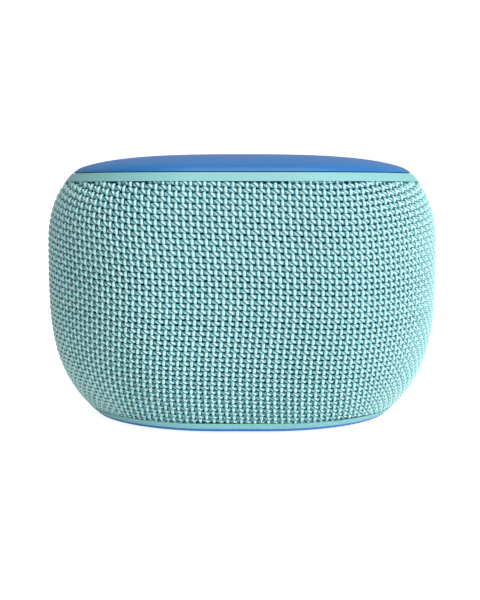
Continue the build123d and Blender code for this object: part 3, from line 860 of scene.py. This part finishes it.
class MeshCollector:
    """Gathers tubes of yarn into one mesh, with its two UV maps."""

    cap_radius, cap_place = 0.002, 0.997
    strip_room, end_room, strip_gap = 1.02, 1.001, 0.03
    map_share, map_edge, least = 0.985, 0.002, 1e-6

    def __init__(self) -> None:
        """Starts empty."""
        self.points: list[Array] = []
        self.quads: list[Array] = []
        self.caps: list[list[int]] = []
        self.yarn_uv: list[Array] = []
        self.covered = 0.0
        self.count = 0

    def add_tube(self, rings: Array, along: Array, around: Array, closed: bool) -> None:
        """Adds one tube.

        Args:
            rings: points, as (ring, corner, 3).
            along: pairs of crossings passed up to each ring; the yarn lies on top at whole numbers.
            around: share of a turn of each corner.
            closed: whether the last ring joins the first.
        """
        total, sides = rings.shape[:2]
        spans = total if closed else total - 1
        ring = np.arange(spans)[:, None]
        after = (ring + 1) % total
        side = np.arange(sides)[None, :]
        beside = (side + 1) % sides
        quad = np.stack(
            (ring * sides + side, ring * sides + beside, after * sides + beside, after * sides + side), -1
        )
        self.points.append(rings.reshape(-1, 3))
        self.quads.append(quad.reshape(-1, 4) + self.count)
        step = np.append(along, 2 * along[-1] - along[-2])
        turn = np.append(around, around[0] + 1.0)
        u0, u1 = step[:spans, None] + 0 * side, step[1 : spans + 1, None] + 0 * side
        v0, v1 = turn[None, :sides] + 0 * ring, turn[None, 1 : sides + 1] + 0 * ring
        corners = [np.stack(pair, -1) for pair in ((u0, v0), (u0, v1), (u1, v1), (u1, v0))]
        self.yarn_uv.append(np.stack(corners, 2).reshape(-1, 2))
        if not closed:
            self.caps.append([self.count + i for i in range(sides)][::-1])
            self.caps.append([self.count + (total - 1) * sides + i for i in range(sides)])
        self.count += total * sides

    def build(self, name: str, girth: float) -> bpy.types.Object:
        """Makes the object.

        Args:
            name: its name.
            girth: how far it is round one yarn, in pairs of crossings, for its bake map.

        Returns:
            The linked object.
        """
        quads = np.concatenate(self.quads)
        cap_corners = np.array([i for cap in self.caps for i in cap], dtype=np.int32)
        cap_sizes = np.array([len(cap) for cap in self.caps], dtype=np.int32)
        corners = np.concatenate((quads.reshape(-1), cap_corners)).astype(np.int32)
        cap_starts = quads.size + np.cumsum(np.append(0, cap_sizes))[:-1]
        starts = np.concatenate((np.arange(len(quads)) * 4, cap_starts))
        mesh = bpy.data.meshes.new(name)
        points = np.concatenate(self.points).astype(np.float32)
        mesh.vertices.add(len(points))
        mesh.vertices.foreach_set("co", points.reshape(-1))
        mesh.loops.add(len(corners))
        mesh.loops.foreach_set("vertex_index", corners)
        mesh.polygons.add(len(quads) + len(cap_sizes))
        mesh.polygons.foreach_set("loop_start", starts.astype(np.int32))
        mesh.update(calc_edges=True)
        mesh.validate()
        yarn_uv = np.concatenate(self.yarn_uv)
        self.write_map(mesh, BAKE_MAP, self.bake_map(girth), self.cap_place)
        self.write_map(mesh, Coordinates.YARN.value, yarn_uv, 0.0)
        mesh.polygons.foreach_set("use_smooth", np.ones(len(mesh.polygons), dtype=bool))
        thing = bpy.data.objects.new(name, mesh)
        bpy.context.scene.collection.objects.link(thing)
        return thing

    def write_map(self, mesh: bpy.types.Mesh, name: str, tube_uv: Array, cap_place: float) -> None:
        """Writes a UV map.

        Args:
            mesh: the mesh.
            name: the map's name.
            tube_uv: the tubes' corners.
            cap_place: both coordinates of the middle of the small ring that holds each cap.
        """
        layer = mesh.uv_layers.new(name=name)
        caps = []
        for cap in self.caps:
            angle = 2 * math.pi * np.arange(len(cap)) / len(cap)
            caps.append(cap_place + self.cap_radius * np.stack((np.cos(angle), np.sin(angle)), -1))
        layer.data.foreach_set("uv", np.concatenate((tube_uv, *caps)).astype(np.float32).reshape(-1))

    def bake_map(self, girth: float) -> Array:
        """Lays every tube out in strips of equal length, side by side in the unit square.

        Args:
            girth: how far it is round one yarn, in pairs of crossings.

        Returns:
            The tubes' corners in the map.
        """
        length = sum(float(uv[:, 0].max() - uv[:, 0].min()) for uv in self.yarn_uv)
        strips = max(1, math.ceil(math.sqrt(length / girth) * self.strip_room))
        strip_length = length / strips * self.end_room
        done = 0.0
        laid = []
        for uv in self.yarn_uv:
            face = uv.reshape(-1, 4, 2)
            run = face[:, :, 0] - face[:, :, 0].min() + done
            done = float(run.max())
            strip = np.floor((run.min(axis=1) + self.least) / strip_length)
            u = (run - strip[:, None] * strip_length) / strip_length
            turn = face[:, :, 1] - face[:, :, 1].min()
            filled = 1 - 2 * self.strip_gap
            v = (strip[:, None] + self.strip_gap + filled * turn / turn.max()) / (strips + 1)
            laid.append((np.stack((u, v), -1) * self.map_share + self.map_edge).reshape(-1, 2))
        return np.concatenate(laid)


class ClothPiece(NamedTuple):
    """A woven piece, its flat width and length, and how much of the form it covers."""

    thing: bpy.types.Object
    flat: tuple[float, float]
    covered: float


@dataclass
class WovenSleeve:
    """The cloth sleeve, woven yarn by yarn: thick plied picks crosswise, slim smooth ends upright."""

    weave: Weave
    pick: Yarn = field(
        default_factory=lambda: Yarn(
            "pick", 0.53 * MM, 0.41 * MM, 0.25 * MM, plied(3, 0.6, 0.5), 0.5, 0.125, 5
        )
    )
    end: Yarn = field(
        default_factory=lambda: Yarn(
            "end", 0.33 * MM, 0.28 * MM, 0.42 * MM, [(i / 8, 1.0) for i in range(8)], 0.0, 0.0, 4
        )
    )
    middle_inset: float = 0.72 * MM
    tuck_reach: float = 0.9 * MM
    tuck_depth: float = 0.22 * MM
    edge_lap: float = 0.45 * MM
    panel_lip: float = 1.5 * MM
    panel_margin: float = 0.35 * MM
    panel_corner: float = 5.0 * MM
    pick_bands: tuple[int, ...] = (-33, -21, -12, -3, 6, 18)
    ends_per_piece: int = 52
    unevenness: float = 0.04
    swell: float = 0.15
    crowding: float = 1.4
    twist_drift: float = 0.03
    least_flat: float = 10.2 * MM
    take_up: float = 1.06
    fewest_rings: int = 3
    seed: int = 11

    def __post_init__(self) -> None:
        """Reads the cloth's edges and the port panel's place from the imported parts."""
        low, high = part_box("fabric_cover")
        self.low_z, self.high_z = low.z - self.edge_lap, high.z + self.edge_lap
        near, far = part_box("port_panel")
        self.panel_half_x = (far.x - near.x) / 2 - self.panel_lip + self.panel_margin
        self.panel_half_z = (far.z - near.z) / 2 - self.panel_lip + self.panel_margin
        self.panel_z = (far.z + near.z) / 2
        self.random = np.random.default_rng(self.seed)

    def kept(self, points: Array) -> Array:
        """Tells which points of the cloth are there.

        Args:
            points: places on the cloth.

        Returns:
            True between the trim rings and outside the port's opening.
        """
        x, y, z = points[:, 0], points[:, 1], points[:, 2]
        inside_band = (z > self.low_z) & (z < self.high_z)
        over_x = np.maximum(np.abs(x) - (self.panel_half_x - self.panel_corner), 0)
        over_z = np.maximum(np.abs(z - self.panel_z) - (self.panel_half_z - self.panel_corner), 0)
        in_port = (y > 0) & (np.hypot(over_x, over_z) < self.panel_corner)
        return inside_band & ~in_port

    def lay(
        self,
        collector: MeshCollector,
        yarn: Yarn,
        end: Array,
        pick: Array,
        closed: bool,
        spacing: float,
    ) -> None:
        """Lays one yarn along the cloth and adds what is kept of it.

        Args:
            collector: where its tubes go.
            yarn: its kind.
            end, pick: its places on the cloth, in order.
            closed: whether it runs right round the body.
            spacing: distance to the next yarn of its kind.
        """
        points, normals = self.weave.place(end, pick)
        over = np.cos(math.pi * (end + pick))
        sign = 1.0 if yarn.name == "pick" else -1.0
        edge = np.minimum(points[:, 2] - self.low_z, self.high_z - points[:, 2])
        tuck = self.tuck_depth * (1 - smoothstep(edge, 0.0, self.tuck_reach))
        inset = self.middle_inset + tuck - sign * yarn.crimp * over
        centres = points - normals * inset[:, None]
        ahead = np.roll(centres, -1, 0) - np.roll(centres, 1, 0)
        if not closed:
            ahead[0], ahead[-1] = centres[1] - centres[0], centres[-1] - centres[-2]
        ahead /= np.linalg.norm(ahead, axis=1)[:, None]
        side = np.cross(normals, ahead)
        side /= np.linalg.norm(side, axis=1)[:, None]
        out = np.cross(ahead, side)
        gauge = 1 + self.unevenness * self.random.standard_normal()
        swell = 1 + self.swell * sign * over
        squeeze = min(1.0, spacing / self.weave.pick_pitch) ** self.crowding if closed else 1.0
        along = (end + pick) / 2 + (0.0 if closed else 0.5)
        crossing = end if closed else pick
        start = pick[0] if closed else crossing[0]
        drift = self.random.uniform(-1, 1) * self.twist_drift * closed
        turn = yarn.turns * (crossing - start) + yarn.phase + drift
        share = np.array([angle for angle, _ in yarn.profile])
        reach = np.array([size for _, size in yarn.profile])
        angle = 2 * math.pi * (share[None, :] + turn[:, None])
        wide = (yarn.width * squeeze * gauge * swell)[:, None] * reach * np.cos(angle)
        deep = (yarn.depth * gauge * swell)[:, None] * reach * np.sin(angle)
        rings = centres[:, None, :] + side[:, None, :] * wide[..., None] + out[:, None, :] * deep[..., None]
        keep = self.kept(points)
        run = np.linalg.norm(np.roll(points, -1, 0) - points, axis=1)
        collector.covered += float((run * keep)[: None if closed else -1].sum() * spacing)
        if closed and keep.all():
            collector.add_tube(rings, along, share, True)
            return
        if closed:
            start = int(np.argmin(keep))
            rings, keep = np.roll(rings, -start, 0), np.roll(keep, -start)
            along = along + start * (along[1] - along[0])
        edges = np.flatnonzero(np.diff(np.concatenate(([0], keep.astype(int), [0]))))
        for first, last in zip(edges[::2], edges[1::2]):
            if last - first >= self.fewest_rings:
                collector.add_tube(rings[first:last], along[first:last], share, False)

    def build(self) -> list[ClothPiece]:
        """Weaves the sleeve.

        Returns:
            Its pieces of crosswise yarn, then of upright yarn.
        """
        weave, pieces = self.weave, []
        widest = 4 * weave.form.quarter(weave.form.half_width)
        pitch = widest / weave.ends
        around = np.arange(weave.ends * self.pick.steps) / self.pick.steps
        for first, after in zip(self.pick_bands, self.pick_bands[1:]):
            collector = MeshCollector()
            for pick in range(first, after):
                spacing = weave.front_height(pick + 0.5) - weave.front_height(pick - 0.5)
                self.lay(collector, self.pick, around, np.full(len(around), float(pick)), True, spacing)
            top = min(weave.front_height(after - 0.5), self.high_z)
            height = float(top - max(weave.front_height(first - 0.5), self.low_z))
            thing = collector.build(f"cloth_picks_{len(pieces) + 1}", self.pick.girth(pitch))
            pieces.append(ClothPiece(thing, (widest, max(height, self.least_flat)), collector.covered))
        count = (self.pick_bands[-1] - self.pick_bands[0]) * self.end.steps
        upright = self.pick_bands[0] + np.arange(count + 1) / self.end.steps
        flat = (widest * self.ends_per_piece / weave.ends, self.take_up * (self.high_z - self.low_z))
        for number, first in enumerate(range(0, weave.ends, self.ends_per_piece)):
            collector = MeshCollector()
            for end in range(first, first + self.ends_per_piece):
                self.lay(collector, self.end, np.full(len(upright), float(end)), upright, False, pitch)
            thing = collector.build(f"cloth_ends_{number + 1}", self.end.girth(weave.pick_pitch))
            pieces.append(ClothPiece(thing, flat, collector.covered))
        return pieces

    def dress(self, pieces: list[ClothPiece]) -> None:
        """Gives the yarns their finishes, hangs them on the body, logs their sizes and hides the imported
        cloth.

        Args:
            pieces: the sleeve's pieces.
        """
        plied_yarn, smooth_yarn = PLIED_YARN.build(), SMOOTH_YARN.build()
        for piece, flat, covered in pieces:
            piece.data.materials.append(smooth_yarn if "ends" in piece.name else plied_yarn)
            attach(piece, BODY)
            faces, width, length = len(piece.data.polygons), flat[0] / MM, flat[1] / MM
            LOG.info("%s: %d faces, flat %.0f by %.0f mm", piece.name, faces, width, length)
        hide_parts("fabric_cover")


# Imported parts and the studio


@dataclass
class PackedParts:
    """The parts as they are packed, each with the finish of its material slot."""

    finishes: tuple = FINISHES

    def dress(self) -> None:
        """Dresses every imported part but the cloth, which is woven anew."""
        materials = {finish.name: finish.build() for finish in self.finishes}
        for part in frame["record"]["subparts"]:
            slot = part["material_slot"]
            if slot in materials:
                thing = frame["nodes"][part["node"]]
                thing.data.materials.clear()
                thing.data.materials.append(materials[slot])
                LOG.info("%s: %s", part["node"], slot)


@dataclass
class Lamp:
    """A soft box that points at the speaker."""

    name: str
    place: tuple[float, float, float]
    size: float
    power: float

    def build(self, target: tuple[float, float, float]) -> None:
        """Hangs the lamp.

        Args:
            target: the point it faces.
        """
        data = bpy.data.lights.new(self.name, "AREA")
        data.shape = "SQUARE"
        data.size = self.size
        data.energy = self.power
        lamp = bpy.data.objects.new(self.name, data)
        bpy.context.scene.collection.objects.link(lamp)
        lamp.location = self.place
        away = np.array(self.place) - np.array(target)
        lamp.rotation_euler = (
            math.acos(away[2] / np.linalg.norm(away)),
            0.0,
            math.atan2(away[1], away[0]) + math.pi / 2,
        )


@dataclass
class Studio:
    """Camera, lamps, floor and backdrop.

    Attributes:
        distance: from the camera to the speaker's axis.
        eye_height: of the camera above the floor.
        aim_down: angle the camera looks down by, in radians.
        lens, sensor: focal length and sensor width in millimetres.
        aside: sideways place of the camera.
        sweep: half the floor's width.
        room_light: brightness of the room that lights the speaker.
        sweep_share: share of the floor's glow that lights the speaker.
        sweep_glow: how brightly the camera sees the floor.
        paper: darkest and lightest grey of the floor.
        lamp_target: the point that the lamps face.
    """

    distance: float = 280.5 * MM
    eye_height: float = 54.6 * MM
    aim_down: float = 0.0997
    lens: float = 66.56
    sensor: float = 36.0
    aside: float = -0.5 * MM
    sweep: float = 3.0
    room_light: float = 0.17
    sweep_share: float = 0.22
    sweep_glow: float = 0.85
    sweep_turns: int = 24
    paper: Range = (0.93, 0.95)
    lamp_target: tuple[float, float, float] = (0.0, 0.0, 30 * MM)
    lamps: list[Lamp] = field(
        default_factory=lambda: [
            Lamp("key", (0.95, -0.7, 0.75), 0.5, 11.0),
            Lamp("fill", (0.5, -1.15, 0.45), 0.5, 4.0),
            Lamp("top", (0.1, 0.0, 1.2), 0.6, 3.5),
        ]
    )

    def build_camera(self) -> None:
        """Sets the camera up."""
        data = bpy.data.cameras.new("camera")
        data.lens = self.lens
        data.sensor_width = self.sensor
        data.clip_start = 0.01
        camera = bpy.data.objects.new("camera", data)
        camera.location = (self.aside, -self.distance, self.eye_height)
        camera.rotation_euler = (math.pi / 2 - self.aim_down, 0.0, 0.0)
        bpy.context.scene.collection.objects.link(camera)
        bpy.context.scene.camera = camera

    def build_sweep(self) -> None:
        """Lays the pale floor, which curves up into a backdrop behind the speaker."""
        size, radius, turns = self.sweep, self.sweep / 2, self.sweep_turns
        line = [(-size, 0.0)]
        for turn in range(turns + 1):
            angle = math.pi / 2 * turn / turns
            line.append((size / 2 + radius * math.sin(angle), radius * (1 - math.cos(angle))))
        line.append((line[-1][0], size))
        points = [(x, y, z) for y, z in line for x in (-size, size)]
        faces = [(2 * i, 2 * i + 1, 2 * i + 3, 2 * i + 2) for i in range(len(line) - 1)]
        mesh = bpy.data.meshes.new("studio_sweep")
        mesh.from_pydata(points, [], faces)
        mesh.polygons.foreach_set("use_smooth", [True] * len(faces))
        sweep = bpy.data.objects.new("studio_sweep", mesh)
        bpy.context.scene.collection.objects.link(sweep)
        sheet = Sheet("pale_paper")
        handling = sheet.effect(EFFECTS.handling, scale=8.0)
        sheet.colour(sheet.tint(handling["Patch"], *(grey(tone) for tone in self.paper)))
        sheet.fix(roughness=0.9, specular_ior_level=0.1, emission_strength=self.sweep_glow)
        seen = sheet.node("LightPath").outputs["Is Camera Ray"]
        glow = sheet.mix(seen, grey(self.sweep_share), WHITE)
        sheet.feed(sheet.shader.inputs["Emission Color"], glow)
        mesh.materials.append(sheet.material)

    def build_light(self) -> None:
        """Hangs the lamps in a pale room."""
        world = bpy.data.worlds.new("pale_room")
        bpy.context.scene.world = world
        world.use_nodes = True
        bench = NodeBench(world.node_tree)
        seen = bench.node("LightPath").outputs["Is Camera Ray"]
        room = bench.mix(seen, grey(self.room_light), WHITE)
        bench.feed(world.node_tree.nodes["Background"].inputs["Color"], room)
        for lamp in self.lamps:
            lamp.build(self.lamp_target)
            LOG.info("%s lamp: %.1f W", lamp.name, lamp.power)

    def build(self) -> None:
        """Sets up the whole studio."""
        self.build_camera()
        self.build_sweep()
        self.build_light()
        bpy.context.scene.view_settings.view_transform = "Standard"


def main() -> None:
    """Builds the speaker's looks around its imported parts."""
    logging.basicConfig(level=logging.INFO, format="%(name)s: %(message)s")
    Studio().build()
    PackedParts().dress()
    sleeve = WovenSleeve(Weave(BodyForm()))
    sleeve.dress(sleeve.build())


if __name__ == "__main__":
    main()
